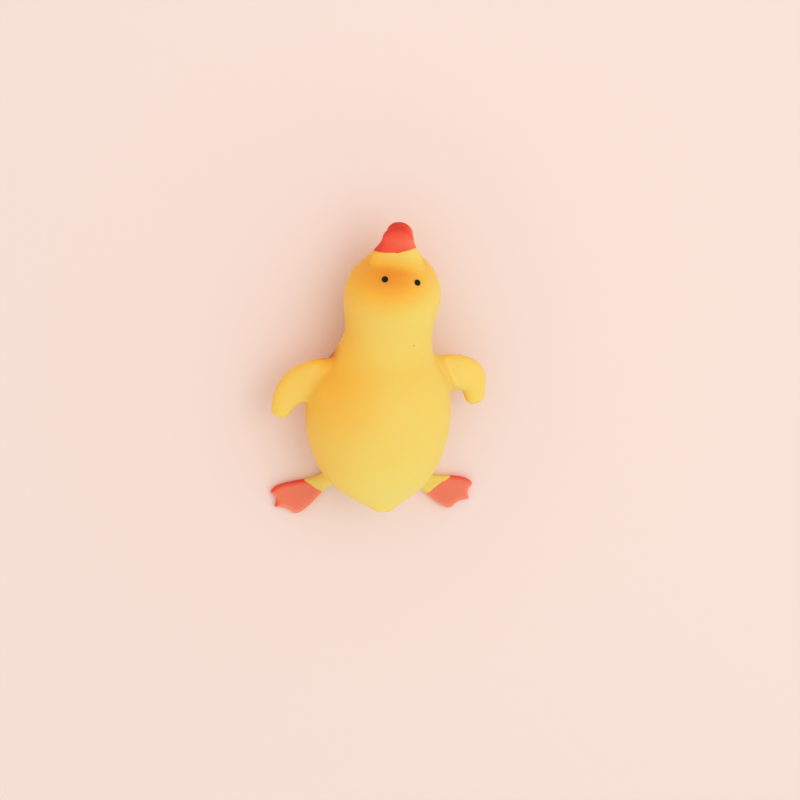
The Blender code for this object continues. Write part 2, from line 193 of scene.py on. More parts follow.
lamp_data = bpy.data.lights.new("soft_box", "AREA")
lamp_data.shape = "DISK"
lamp_data.size = LAMP_SIZE
lamp_data.energy = LAMP_POWER
lamp = bpy.data.objects.new("soft_box", lamp_data)
scene.collection.objects.link(lamp)
lamp.location = LAMP_DIRECTION * LAMP_DISTANCE
lamp.rotation_euler = LAMP_DIRECTION.to_track_quat("Z", "Y").to_euler()
scene.view_settings.view_transform = "Standard"
print("lamp at", [round(c, 2) for c in lamp.location], "m, power", LAMP_POWER, "W")

# %% [markdown]
# ## The skin, step 1: overlapping forms
#
# A modeller would build the duck from lumps of clay: a body, a bill, two paddles for wings, and
# legs with webbed feet. Here each lump is a loft, which is a row of rings through a few measured
# stations. The stations are those of the CAD model, so that the fine skin fits over it. Boxes and
# subdivision could make it too, but stations keep every width and height as one plain number.

# %% Stations of the body, from the tail to the head
BELLY_WIDEST_SHARE = 0.464
Station = namedtuple("Station", "x y z half_width above below")


def body_station(forward, shift, half_width, low, high):
    """Return a station of the body, which is widest a little below its middle."""
    widest = low + (high - low) * BELLY_WIDEST_SHARE
    return Station(shift, forward, widest, half_width, high - widest, widest - low)


HEAD_RADIUS = 0.0177
HEAD = Vector((0.0053, 0.0423, 0.0200))
HEAD_TURN = math.radians(3)
TAIL_ROUNDING = 0.0016
BODY = [
    body_station(-0.0358, 0.0006, 0.0040, 0.0238, 0.0292),
    body_station(-0.0305, 0.0000, 0.0131, 0.0175, 0.0325),
    body_station(-0.0240, -0.0002, 0.0198, 0.0095, 0.0366),
    body_station(-0.0135, 0.0000, 0.0249, 0.0012, 0.0402),
    body_station(0.0000, 0.0003, 0.0268, -0.0026, 0.0420),
    body_station(0.0110, 0.0004, 0.0255, -0.0026, 0.0392),
    body_station(0.0195, 0.0016, 0.0193, 0.0045, 0.0352),
    body_station(0.0280, 0.0038, 0.0163, 0.0060, 0.0342),
    Station(*HEAD, HEAD_RADIUS, HEAD_RADIUS, HEAD_RADIUS),
]
print("body stations:", len(BODY))

# %% [markdown]
# A loft needs three things: rows that run smoothly through the stations, a ring at each row, and a
# round cap at each end. The rows follow a Hermite curve, whose slopes come from the neighbours.

# %% The loft
RING_POINTS = 48
LOFT_STEP = 0.0010
BODY_FULLNESS = 2.2
CAP_ROWS = 8
UP = Vector((0, 0, 1))


def smooth_rows(stations, blunt):
    """Return rows of values one step apart; a blunt end keeps its width where its cap begins."""
    values = np.array(stations, dtype=float)
    gaps = np.linalg.norm(np.diff(values[:, :3], axis=0), axis=1)
    slopes = np.gradient(values, np.concatenate(([0.0], np.cumsum(gaps))), axis=0)
    for end, is_blunt in zip((0, -1), blunt):
        if is_blunt:
            slopes[end, 3:] = 0
    rows = []
    for index, gap in enumerate(gaps):
        count = max(2, round(gap / LOFT_STEP))
        for t in np.arange(count) / count:
            rows.append(
                (2 * t**3 - 3 * t**2 + 1) * values[index]
                + (t**3 - 2 * t**2 + t) * gap * slopes[index]
                + (3 * t**2 - 2 * t**3) * values[index + 1]
                + (t**3 - t**2) * gap * slopes[index + 1]
            )
    rows.append(values[-1])
    return rows


def cap_rows(row, towards, length):
    """Return rows that close an end with a quarter round, the widest one first."""
    rows = []
    for part in range(1, CAP_ROWS):
        angle = math.radians(90) * part / CAP_ROWS
        capped = row * math.cos(angle)
        capped[:3] = row[:3] + np.array(towards) * length * math.sin(angle)
        rows.append(capped)
    return rows


def add_ring(mesh, row, across, up, fullness):
    """Add one ring: a slightly squared ellipse with its own height above and below."""
    centre = Vector(row[:3])
    half_width, above, below = row[3:]
    ring = []
    for angle in np.arange(RING_POINTS) * 2 * math.pi / RING_POINTS:
        wide = math.copysign(abs(math.cos(angle)) ** (2 / fullness), math.cos(angle))
        tall = math.copysign(abs(math.sin(angle)) ** (2 / fullness), math.sin(angle))
        height = above if tall > 0 else below
        ring.append(mesh.verts.new(centre + across * wide * half_width + up * tall * height))
    return ring


def add_loft(
    mesh, stations, caps, up=UP, across=None, ahead=None, blunt=(True, True), fullness=BODY_FULLNESS
):
    """Add a closed form to the mesh: a ring at each row, and a round cap at each end."""
    rows = smooth_rows(stations, blunt)
    centres = [Vector(row[:3]) for row in rows]
    first_way = (centres[0] - centres[1]).normalized()
    last_way = ahead or (centres[-1] - centres[-2]).normalized()
    befores = [centres[0]] + centres
    afters = centres[1:] + [centres[-1]]
    middle = [(after - before).normalized() for before, after in zip(befores, afters)]
    start = cap_rows(rows[0], first_way, caps[0])
    end = cap_rows(rows[-1], last_way, caps[1])
    tangents = [-first_way] * len(start) + middle + [last_way] * len(end)
    rings = [
        add_ring(mesh, row, across or tangent.cross(up).normalized(), up, fullness)
        for row, tangent in zip(start[::-1] + rows + end, tangents)
    ]
    for ring, following in zip(rings, rings[1:]):
        for i in range(RING_POINTS):
            j = (i + 1) % RING_POINTS
            mesh.faces.new((ring[i], ring[j], following[j], following[i]))
    closings = [
        (rings[0][::-1], centres[0] + first_way * caps[0]),
        (rings[-1], centres[-1] + last_way * caps[1]),
    ]
    for ring, tip in closings:
        pole = mesh.verts.new(tip)
        for i in range(RING_POINTS):
            mesh.faces.new((ring[i], ring[(i + 1) % RING_POINTS], pole))


forms = bmesh.new()
head_ahead = Vector((math.sin(HEAD_TURN), math.cos(HEAD_TURN), 0))
add_loft(
    forms,
    BODY,
    caps=(TAIL_ROUNDING, HEAD_RADIUS),
    across=Vector((1, 0, 0)),
    ahead=head_ahead,
    blunt=(False, True),
)
print("body loft:", len(forms.verts), "points")

# %% [markdown]
# The bill rises from the face. It has an upper half and a lower half, and a gap between them is
# the mouth. Both start inside the head, so that the melting later leaves no seam there.

# %% The bill
BILL_PITCH = math.radians(18)
BILL_TURN = math.radians(1)
BILL_ROLL = math.radians(17)
BILL_ROOT_ANGLE = math.radians(27)
BILL_ROOT_SHIFT = 0.0001
BILL_ROOT_DEPTH = 0.0060
BILL_LENGTH = 0.0124
BILL_ROUNDING = 0.0050
BILL_FULLNESS = 2.5
LOWER_BILL_DROP = 0.0044
LOWER_BILL_REACH = 0.0001
bill_ahead = Vector((math.sin(BILL_TURN), math.cos(BILL_TURN), math.tan(BILL_PITCH))).normalized()
bill_up = Matrix.Rotation(-BILL_ROLL, 3, bill_ahead) @ Vector((1, 0, 0)).cross(bill_ahead).normalized()
towards_face = Vector((0, math.cos(BILL_ROOT_ANGLE), math.sin(BILL_ROOT_ANGLE)))
bill_face = HEAD + Vector((BILL_ROOT_SHIFT, 0, 0)) + towards_face * HEAD_RADIUS
bill_root = bill_face - bill_ahead * BILL_ROOT_DEPTH
upper_tip = bill_face + bill_ahead * (BILL_LENGTH - BILL_ROUNDING)
lower_tip = upper_tip + bill_ahead * LOWER_BILL_REACH - bill_up * LOWER_BILL_DROP
UPPER_BILL = [
    Station(*bill_root, 0.0104, 0.0060, 0.0060),
    Station(*bill_face, 0.0096, 0.0043, 0.0043),
    Station(*upper_tip, 0.0060, 0.0026, 0.0026),
]
LOWER_BILL = [
    Station(*(bill_root - bill_up * LOWER_BILL_DROP), 0.0096, 0.0043, 0.0043),
    Station(*lower_tip, 0.0051, 0.0021, 0.0021),
]
for half in (UPPER_BILL, LOWER_BILL):
    add_loft(forms, half, caps=(BILL_ROUNDING, BILL_ROUNDING), up=bill_up, fullness=BILL_FULLNESS)
print("bill face at", [round(1000 * c, 1) for c in bill_face], "mm")

# %% [markdown]
# The wings are soft paddles that leave the flanks, droop a little and bend back. Each is listed by
# its own bends, because on a soft moulding no two wings lie alike.

# %% The wings
SIDES = {"left": -1, "right": 1}
WING_DROOP = math.radians(15)
WING_ROOT = Vector((0.0138, 0.0125, 0.0210))
WING_FLANK = 0.0203
WING_ROOT_HALF_WIDTH = 0.0076
WING_HALF_THICKNESS = {"root": 0.0050, "tip": 0.0027}
WING_ROUNDING = 0.0030
Bend = namedtuple("Bend", "out forward half_width")
WING_BENDS = {
    "left": [
        Bend(0.0030, 0.0122, 0.0075),
        Bend(0.0092, 0.0099, 0.0066),
        Bend(0.0135, 0.0052, 0.0051),
        Bend(0.0155, 0.0006, 0.0038),
    ],
    "right": [
        Bend(0.0030, 0.0126, 0.0070),
        Bend(0.0092, 0.0127, 0.0067),
        Bend(0.0149, 0.0098, 0.0064),
        Bend(0.0167, 0.0028, 0.0041),
    ],
}


def wing_stations(side):
    """Return a wing's stations from inside the body to its tip."""
    sign = SIDES[side]
    bends = WING_BENDS[side]
    root = WING_HALF_THICKNESS["root"]
    taper = WING_HALF_THICKNESS["tip"] - root
    stations = [Station(sign * WING_ROOT.x, WING_ROOT.y, WING_ROOT.z, WING_ROOT_HALF_WIDTH, root, root)]
    for index, bend in enumerate(bends):
        half = root + taper * (index + 1) / len(bends)
        sideways = sign * (WING_FLANK + bend.out)
        height = WING_ROOT.z - math.tan(WING_DROOP) * bend.out
        stations.append(Station(sideways, bend.forward, height, bend.half_width, half, half))
    return stations


for side, sign in SIDES.items():
    wing_up = Vector((sign * math.sin(WING_DROOP), 0, math.cos(WING_DROOP)))
    add_loft(forms, wing_stations(side), caps=(WING_ROUNDING, WING_ROUNDING), up=wing_up)
print("wings reach", round(1000 * (WING_FLANK + WING_BENDS["right"][-1].out), 1), "mm out")

# %% [markdown]
# Each leg is a short thigh that ends in an ankle on the table. The foot is a flat plate with three
# toe tips, and the web between two tips is cut back in a shallow curve, as on a real duck's foot.
# The outline is written round the ankle, as pairs of a reach in metres and an angle in degrees,
# and both feet share it.

# %% Legs and webbed feet
THIGH_RADIUS = 0.0045
LEG_ROOT = Vector((0.0089, -0.0233, 0.0103))
ANKLES = {"left": Vector((-0.0175, -0.0299, 0.0024)), "right": Vector((0.0197, -0.0307, 0.0024))}
ANKLE_HALF_WIDTH = 0.0030
FOOT_TURNS = {"left": 2.5, "right": 0.0}
FOOT_THICKNESS = 0.0032
FOOT_FRONT = [
    (0.0030, -80),
    (0.0045, -20),
    (0.0075, -9),
    (0.0115, -4),
    (0.0147, -1.5),
    (0.0177, 1.8),
]
TOE_TIPS = [(0.0202, 7.5), (0.0202, 24.3), (0.0162, 44.0)]
WEB_CUTS = [0.0016, 0.0012]
FOOT_REAR = [
    (0.0158, 47.5),
    (0.0144, 50.5),
    (0.0120, 55.5),
    (0.0092, 61),
    (0.0064, 69),
    (0.0040, 88),
    (0.0028, 130),
]
WEB_CUT_POINTS = 8


def foot_point(side, reach, degrees):
    """Return a point of the foot, given as its reach and its angle back round the ankle."""
    ankle = ANKLES[side]
    angle = math.radians(degrees + FOOT_TURNS[side])
    return Vector((ankle.x + SIDES[side] * reach * math.cos(angle), ankle.y - reach * math.sin(angle), 0))


def web_edge(start, end, depth, middle):
    """Return the points of a web's edge between two toe tips: a parabola, deepest halfway."""
    inwards = (middle - (start + end) / 2).normalized()
    shares = [index / WEB_CUT_POINTS for index in range(1, WEB_CUT_POINTS)]
    return [start.lerp(end, t) + inwards * depth * 4 * t * (1 - t) for t in shares]


def foot_outline(side):
    """Return the foot's outline: front edge, toe tips with webs between them, and rear edge."""
    ankle = Vector((*ANKLES[side].xy, 0))
    tips = [foot_point(side, *tip) for tip in TOE_TIPS]
    outline = [foot_point(side, *point) for point in FOOT_FRONT] + [tips[0]]
    for start, end, depth in zip(tips, tips[1:], WEB_CUTS):
        outline += web_edge(start, end, depth, ankle) + [end]
    return outline + [foot_point(side, *point) for point in FOOT_REAR]


for side, sign in SIDES.items():
    ankle = ANKLES[side]
    leg = [
        Station(sign * LEG_ROOT.x, LEG_ROOT.y, LEG_ROOT.z, THIGH_RADIUS, THIGH_RADIUS, THIGH_RADIUS),
        Station(*ankle, ANKLE_HALF_WIDTH, ankle.z, ankle.z),
    ]
    add_loft(forms, leg, caps=(THIGH_RADIUS, ANKLE_HALF_WIDTH))
    sole = forms.faces.new([forms.verts.new(point) for point in foot_outline(side)])
    top = bmesh.ops.extrude_face_region(forms, geom=[sole])["geom"]
    top_corners = [part for part in top if isinstance(part, bmesh.types.BMVert)]
    bmesh.ops.translate(forms, verts=top_corners, vec=UP * FOOT_THICKNESS)

bmesh.ops.recalc_face_normals(forms, faces=forms.faces)
skin = bpy.data.objects.new("duck_skin", bpy.data.meshes.new("duck_skin"))
scene.collection.objects.link(skin)
forms.to_mesh(skin.data)
forms.free()
print("forms:", len(skin.data.polygons), "faces that overlap and are not joined yet")

# %% [markdown]
# ## The skin, step 2: one closed surface
#
# A voxel remesh melts the lumps into one skin, as clay is smeared together. Booleans would keep
# every join sharp, and a mould has none. The grid has to be finer than the smallest detail.

# %% Melt the forms together
SKIN_STEP = 0.0005
melt = skin.modifiers.new("melt together", "REMESH")
melt.mode = "VOXEL"
melt.voxel_size = SKIN_STEP

# %% [markdown]
# ## The skin, step 3: rounding and resting, by Geometry Nodes
#
# Two rules shape the whole moulding: its joins are rounded, and soft rubber flattens where it lies
# on the table. A node tree states both, with its sizes as named inputs, so that they can be tried
# out in the modifier's panel. Blur Attribute on the position is the rounding. It is held back low
# down, where the feet are thin, and round the bill, so that the mouth and the toes stay crisp.
# Round the bill this fades out between the bill's reach and one and a half times that reach.


# %% The tree that rounds and settles
def start_tree(name, inputs):
    """Start a Geometry Nodes tree with named inputs, and return it with its input node."""
    tree = bpy.data.node_groups.new(name, "GeometryNodeTree")
    tree.interface.new_socket("Geometry", in_out="INPUT", socket_type="NodeSocketGeometry")
    for label, kind in inputs.items():
        tree.interface.new_socket(label, in_out="INPUT", socket_type=kind)
    tree.interface.new_socket("Geometry", in_out="OUTPUT", socket_type="NodeSocketGeometry")
    return tree, add_node(tree, "NodeGroupInput").outputs


def end_tree(tree, geometry, material):
    """Close the tree: real geometry with its material, because an export drops instances."""
    real = add_node(tree, "GeometryNodeRealizeInstances", {"Geometry": geometry})
    coated = {"Geometry": real.outputs[0], "Material": material}
    painted = add_node(tree, "GeometryNodeSetMaterial", coated)
    add_node(tree, "NodeGroupOutput", {"Geometry": painted.outputs[0]})


def use_tree(thing, tree, values):
    """Put the tree on an object as a modifier, and set its inputs by their identifiers."""
    modifier = thing.modifiers.new(tree.name, "NODES")
    modifier.node_group = tree
    for item in tree.interface.items_tree:
        if item.in_out == "INPUT" and item.name in values:
            modifier[item.identifier] = values[item.name]


BILL_FADE = 1.5

settle, given = start_tree(
    "round_and_settle",
    {
        "Rounding": "NodeSocketInt",
        "Thin Height": "NodeSocketFloat",
        "Full Height": "NodeSocketFloat",
        "Bill Place": "NodeSocketVector",
        "Bill Reach": "NodeSocketFloat",
        "Crispness": "NodeSocketFloat",
        "Table Height": "NodeSocketFloat",
        "Material": "NodeSocketMaterial",
    },
)
place = add_node(settle, "GeometryNodeInputPosition").outputs[0]
start_axes = add_node(settle, "ShaderNodeSeparateXYZ", {0: place}).outputs
high = add_node(
    settle,
    "ShaderNodeMapRange",
    {
        "Value": start_axes["Z"],
        "From Min": given["Thin Height"],
        "From Max": given["Full Height"],
        "To Min": given["Crispness"],
    },
)
off_bill = add_node(
    settle,
    "ShaderNodeMapRange",
    {
        "Value": from_vectors(settle, "DISTANCE", place, given["Bill Place"])["Value"],
        "From Min": given["Bill Reach"],
        "From Max": calculated(settle, "MULTIPLY", given["Bill Reach"], BILL_FADE),
        "To Min": given["Crispness"],
    },
)
blurred = add_node(
    settle,
    "GeometryNodeBlurAttribute",
    {
        "Value": place,
        "Iterations": given["Rounding"],
        "Weight": calculated(settle, "MINIMUM", high.outputs[0], off_bill.outputs[0]),
    },
    data_type="FLOAT_VECTOR",
)
rounding = {"Geometry": given["Geometry"], "Position": blurred.outputs[0]}
rounded = add_node(settle, "GeometryNodeSetPosition", rounding)
rounded_place = add_node(settle, "GeometryNodeInputPosition").outputs[0]
axes = add_node(settle, "ShaderNodeSeparateXYZ", {0: rounded_place}).outputs
lifted = calculated(settle, "MAXIMUM", axes["Z"], given["Table Height"])
resting = add_node(settle, "ShaderNodeCombineXYZ", {"X": axes["X"], "Y": axes["Y"], "Z": lifted})
settling = {"Geometry": rounded.outputs[0], "Position": resting.outputs[0]}
settled = add_node(settle, "GeometryNodeSetPosition", settling)
smooth = add_node(settle, "GeometryNodeSetShadeSmooth", {"Geometry": settled.outputs[0]})
end_tree(settle, smooth.outputs[0], given["Material"])
print("tree:", settle.name, "with", len(settle.nodes), "nodes")

# %% [markdown]
# ## The rubber and its paint
#
# The real one is thermoplastic rubber, cast in a mould: a satin, slightly waxy yellow that lets
# red light through more than blue, so its shaded sides glow warm instead of turning grey. The
# colour also carries painted shade: the tone deepens to orange on faces turned ahead, to the left
# and sideways, so it follows the way the surface faces. Patches of painted shade and painted light
# come on top. The forehead, the left flank and the crevice at the left wing's fold get painted shade,
# while the collar behind the bill, the tail and the legs get painted light. Each patch fades out
# towards the edge of an ellipsoid. One small brown speck sits on the neck.
# All of it is read from Object coordinates and from the surface's own direction.

# %% Rubber with painted shade and painted light
rubber = bpy.data.materials.new("airbrushed_moulded_rubber")
rubber.use_nodes = True
look = rubber.node_tree
look.nodes.clear()
# Rubber colours from pale to deep: beyond the plain tone they are painted light and painted shade, and
# the mottle moves the tone at random.
MOTTLE_AND_PAINTED_SHADE_TONES = [
    (0.00, "#F2E07C"),
    (0.20, "#F2DA6E"),
    (0.40, "#F3CC5A"),
    (0.62, "#F9BC38"),
    (0.85, "#EF9A24"),
    (1.00, "#B9661C"),
]
# Patches of painted shade (positive amount) on the forehead, left flank and left wing's crevice, and of
# painted light (negative amount) on the collar, tail and legs.
PaintedPatch = namedtuple("PaintedPatch", "area amount place reach")
PAINTED_SHADE_AND_LIGHT_PATCHES = [
    PaintedPatch("forehead", 0.50, Vector((0.0036, 0.0506, 0.0320)), Vector((0.0205, 0.0165, 0.0300))),
    PaintedPatch("left flank", 0.18, Vector((-0.0145, 0.0085, 0.0300)), Vector((0.0200, 0.0250, 0.0400))),
    PaintedPatch("wing fold", 0.40, Vector((-0.0190, 0.0206, 0.0166)), Vector((0.0090, 0.0084, 0.0120))),
    PaintedPatch("collar", -0.16, Vector((0.0055, 0.0590, 0.0340)), Vector((0.0170, 0.0065, 0.0110))),
    PaintedPatch("tail", -0.18, Vector((0.0020, -0.0310, 0.0280)), Vector((0.0260, 0.0240, 0.0300))),
    PaintedPatch("legs", -0.14, Vector((0.0010, -0.0300, 0.0030)), Vector((0.0340, 0.0110, 0.0120))),
]
PLAIN_TONE = 0.443
# Painted shade: faces turned to the left, ahead and sideways get a deeper, more orange tone.
PAINTED_SHADE_BY_FACING = Vector((-0.110, 0.115, -0.173))
SPECK_PLACE = Vector((0.0108, 0.0261, 0.0329))
SPECK_RADIUS = 0.0004
SPECK_AMOUNT = 0.4
SPECK_COLOUR = "#7A5A28"
MOTTLE_SIZE = 0.009
MOTTLE_AMOUNT = 0.06

object_place = add_node(look, "ShaderNodeTexCoord").outputs["Object"]
facing = add_node(look, "ShaderNodeNewGeometry").outputs["Normal"]
mottle = noise(look, object_place, MOTTLE_SIZE, detail=2.0)
uneven = calculated(look, "MULTIPLY_ADD", mottle, MOTTLE_AMOUNT, PLAIN_TONE - MOTTLE_AMOUNT / 2)
painted_facing_shade = from_vectors(look, "DOT_PRODUCT", facing, PAINTED_SHADE_BY_FACING)["Value"]
tone_with_painted_shade = calculated(look, "ADD", painted_facing_shade, uneven)
# Each patch adds painted shade where its amount is positive and painted light where it is negative.
for painted_patch in PAINTED_SHADE_AND_LIGHT_PATCHES:
    away = from_vectors(look, "SUBTRACT", object_place, painted_patch.place)["Vector"]
    stretched = from_vectors(look, "DIVIDE", away, painted_patch.reach)["Vector"]
    reached = from_vectors(look, "LENGTH", stretched)["Value"]
    fading = {"Value": reached, "To Min": painted_patch.amount, "To Max": 0.0}
    patch_tone = add_node(look, "ShaderNodeMapRange", fading, interpolation_type="SMOOTHSTEP")
    tone_with_painted_shade = calculated(look, "ADD", tone_with_painted_shade, patch_tone.outputs[0])


def colour_ramp(value, stops):
    """Add a ramp that turns a value into a colour between the given stops."""
    ramp = add_node(look, "ShaderNodeValToRGB", {"Fac": value})
    while len(ramp.color_ramp.elements) < len(stops):
        ramp.color_ramp.elements.new(0.5)
    for element, (position, colour) in zip(ramp.color_ramp.elements, stops):
        element.position = position
        element.color = linear(colour)
    return ramp.outputs["Color"]


# The ramp turns the tone, with its painted shade and painted light, into the rubber's colour.
mottle_and_painted_shade = colour_ramp(tone_with_painted_shade, MOTTLE_AND_PAINTED_SHADE_TONES)
speck = add_node(
    look,
    "ShaderNodeMapRange",
    {
        "Value": from_vectors(look, "DISTANCE", object_place, SPECK_PLACE)["Value"],
        "From Min": SPECK_RADIUS / 2,
        "From Max": SPECK_RADIUS,
        "To Min": SPECK_AMOUNT,
        "To Max": 0.0,
    },
)
rubber_colour = mixed_colour(look, speck.outputs[0], mottle_and_painted_shade, linear(SPECK_COLOUR))
# These tones and patches hold painted shade and painted light besides the rubber's own yellow.
print("airbrush tones:", [colour for _, colour in MOTTLE_AND_PAINTED_SHADE_TONES])
print("sprays:", [painted_patch.area for painted_patch in PAINTED_SHADE_AND_LIGHT_PATCHES])

# %% [markdown]
# Bill and feet are painted orange by hand, with slightly uneven edges. A painted field is a plane
# with a hand's tremor: the distance past the plane, plus a slow noise, is turned into a mask with
# an edge 0.15 mm wide. Each foot has one such plane and a limit in height. The bill's plane leans
# and bows, because its edge curves round the face: the bow grows with the square of the distance
# from the bill's middle. A second plane keeps the paint off the chin.
# The coat is thicker on the bill than on the feet, so the bill is redder. The paint also carries
# painted shade: faces turned ahead and to the left get a darker, redder tone.

# %% Painted fields
PAINT_EDGE = 0.00015
TREMOR_SIZE = 0.0035
TREMOR_AMOUNT = 0.0012
BILL_PAINT_START = 0.0019
BILL_PAINT_LEAN = math.radians(7)
BILL_PAINT_BELOW = 0.0080
BILL_PAINT_MIDDLE = 0.0032
BILL_PAINT_BOW = 20.0
FOOT_PAINT_ANGLE = math.radians(57)
FOOT_PAINT_STARTS = {"left": 0.0034, "right": 0.0054}
FOOT_PAINT_TOP = 0.0080
FOOT_COAT = 0.10
BILL_COAT = 0.33
# Painted shade on the paint: faces turned to the left and ahead get a darker, redder tone.
PAINT_SHADE_BY_FACING = Vector((-0.25, 0.65, 0))
PAINT_TONES = [(0.00, "#F88C6C"), (0.30, "#F26142"), (0.60, "#EC4529"), (1.00, "#C92C1C")]

tremor = noise(look, object_place, TREMOR_SIZE)
shake = calculated(look, "MULTIPLY_ADD", tremor, TREMOR_AMOUNT, -TREMOR_AMOUNT / 2)


def painted_past(point, way, start, bowed=0.0):
    """Return a mask that is 1 where the surface lies past a plane, with a hand-painted edge."""
    along = from_vectors(look, "DOT_PRODUCT", object_place, way)["Value"]
    curved = calculated(look, "ADD", along, bowed)
    shaken = calculated(look, "ADD", curved, shake)
    edge = Vector(point).dot(Vector(way)) + start
    limits = {"Value": shaken, "From Min": edge - PAINT_EDGE / 2, "From Max": edge + PAINT_EDGE / 2}
    return add_node(look, "ShaderNodeMapRange", limits).outputs[0]


across = add_node(look, "ShaderNodeSeparateXYZ", {0: object_place}).outputs["X"]
off_middle = calculated(look, "ADD", across, -BILL_PAINT_MIDDLE)
squared = calculated(look, "POWER", off_middle, 2.0)
bow = calculated(look, "MULTIPLY", squared, -BILL_PAINT_BOW)
bill_paint_way = Vector((0, math.cos(BILL_PAINT_LEAN), -math.sin(BILL_PAINT_LEAN)))
ahead_of_face = painted_past(bill_face, bill_paint_way, BILL_PAINT_START, bow)
above_chin = painted_past(bill_face, bill_up, -BILL_PAINT_BELOW)
bill_mask = calculated(look, "MULTIPLY", ahead_of_face, above_chin)
masks = [bill_mask]
low = painted_past((0, 0, 0), -UP, -FOOT_PAINT_TOP)
for side, sign in SIDES.items():
    foot_paint_way = (sign * math.cos(FOOT_PAINT_ANGLE), -math.sin(FOOT_PAINT_ANGLE), 0)
    past_edge = painted_past(ANKLES[side], foot_paint_way, FOOT_PAINT_STARTS[side])
    masks.append(calculated(look, "MULTIPLY", past_edge, low))
paint_mask = bill_mask
for mask in masks[1:]:
    paint_mask = calculated(look, "MAXIMUM", paint_mask, mask)
thickness = calculated(look, "MULTIPLY_ADD", bill_mask, BILL_COAT - FOOT_COAT, FOOT_COAT)
paint_facing_shade = from_vectors(look, "DOT_PRODUCT", facing, PAINT_SHADE_BY_FACING)["Value"]
painted = colour_ramp(calculated(look, "ADD", thickness, paint_facing_shade), PAINT_TONES)
print("painted fields:", len(masks))

# %% [markdown]
# The finish: rubber is satin, with a very fine grain from the mould, about 0.35 mm between bumps,
# and soft waves a few millimetres long where the skin is slack. Paint is a little smoother. Light
# sinks in a few millimetres and comes out again, red the furthest and blue the least.

# %% Put the rubber together
GRAIN_SPACING = 0.00035
GRAIN_HEIGHT = 0.00008
GRAIN_STRENGTH = 0.12
WAVE_LENGTH = 0.0060
WAVE_HEIGHT = 0.0004
WAVE_STRENGTH = 0.25
RUBBER_ROUGHNESS = 0.52
PAINT_ROUGHNESS = 0.42
GLOW_DEPTH = 0.006
GLOW_BY_CHANNEL = (1.0, 0.45, 0.15)

grain = noise(look, object_place, GRAIN_SPACING)
waves = noise(look, object_place, WAVE_LENGTH)
wave_relief = {"Height": waves, "Strength": WAVE_STRENGTH, "Distance": WAVE_HEIGHT}
wavy = add_node(look, "ShaderNodeBump", wave_relief).outputs[0]
grain_relief = {"Height": grain, "Strength": GRAIN_STRENGTH, "Distance": GRAIN_HEIGHT, "Normal": wavy}
grained = add_node(look, "ShaderNodeBump", grain_relief).outputs[0]
smoothing = {"Value": paint_mask, "To Min": RUBBER_ROUGHNESS, "To Max": PAINT_ROUGHNESS}
shader = add_node(
    look,
    "ShaderNodeBsdfPrincipled",
    {
        "Base Color": mixed_colour(look, paint_mask, rubber_colour, painted),
        "Roughness": add_node(look, "ShaderNodeMapRange", smoothing).outputs[0],
        "Normal": grained,
        "Subsurface Weight": 0.6,
        "Subsurface Radius": GLOW_BY_CHANNEL,
        "Subsurface Scale": GLOW_DEPTH,
        "IOR": 1.5,
        "Specular IOR Level": 0.35,
    },
)
add_node(look, "ShaderNodeOutputMaterial", {"Surface": shader.outputs[0]})
print("material:", rubber.name, "with", len(look.nodes), "nodes")

# %% [markdown]
# Now the tree gets its values and runs. Baking then turns what the modifiers make into a plain
# mesh, because the creases of the next step are laid on the finished skin.

# %% Round, settle and bake the skin
ROUNDING_ROUNDS = 12
BILL_MIDDLE_AHEAD = 0.004


def bake(thing):
    """Turn what the modifiers make into the object's own plain mesh, and remove them."""
    evaluated = thing.evaluated_get(bpy.context.evaluated_depsgraph_get())
    mesh = bpy.data.meshes.new_from_object(evaluated)
    mesh.name = thing.name
    thing.modifiers.clear()
    thing.data = mesh


use_tree(
    skin,
    settle,
    {
        "Rounding": ROUNDING_ROUNDS,
        "Thin Height": 0.0035,
        "Full Height": 0.0080,
        "Bill Place": bill_face + bill_ahead * BILL_MIDDLE_AHEAD,
        "Bill Reach": 0.0125,
        "Crispness": 0.30,
        "Table Height": 0.0,
        "Material": rubber,
    },
)
bake(skin)
print("skin:", len(skin.data.polygons), "faces")

# %% [markdown]
# ## The skin, step 4: creases and ridges that follow a path
#
# Where a wing leaves the flank the rubber folds. Sculpting by hand would do, but a fold follows a path
# over the surface. So one node tree presses a groove, or raises a ridge when its depth is negative,
# wherever the skin is near a path. The path is drawn from above with a few points and laid on the
# skin by casting rays down.


# %% The tree that presses a path into the skin
press, given = start_tree(
    "press_path",
    {
        "Path": "NodeSocketObject",
        "Width": "NodeSocketFloat",
        "Depth": "NodeSocketFloat",
        "Material": "NodeSocketMaterial",
    },
)
path_shape = add_node(press, "GeometryNodeObjectInfo", {"Object": given["Path"]}).outputs["Geometry"]
nearest = add_node(press, "GeometryNodeProximity", {0: path_shape}, target_element="EDGES")
share = calculated(press, "DIVIDE", nearest.outputs["Distance"], given["Width"])
fading = {"Value": share, "To Min": 1.0, "To Max": 0.0}
fade = add_node(press, "ShaderNodeMapRange", fading, interpolation_type="SMOOTHERSTEP")
amount = calculated(press, "MULTIPLY", fade.outputs[0], given["Depth"])
inwards = calculated(press, "MULTIPLY", amount, -1.0)
outward_way = add_node(press, "GeometryNodeInputNormal").outputs[0]
push = add_node(press, "ShaderNodeVectorMath", {0: outward_way, "Scale": inwards}, operation="SCALE")
pushing = {"Geometry": given["Geometry"], "Offset": push.outputs[0]}
pressed = add_node(press, "GeometryNodeSetPosition", pushing)
end_tree(press, pressed.outputs[0], given["Material"])
print("tree:", press.name, "with", len(press.nodes), "nodes")

# %% [markdown]
# Each wing has a fold along the flank. The right one also has a ridge and a groove beside its fold,
# as the photograph shows there. The paths are pressed one after the other and then removed.

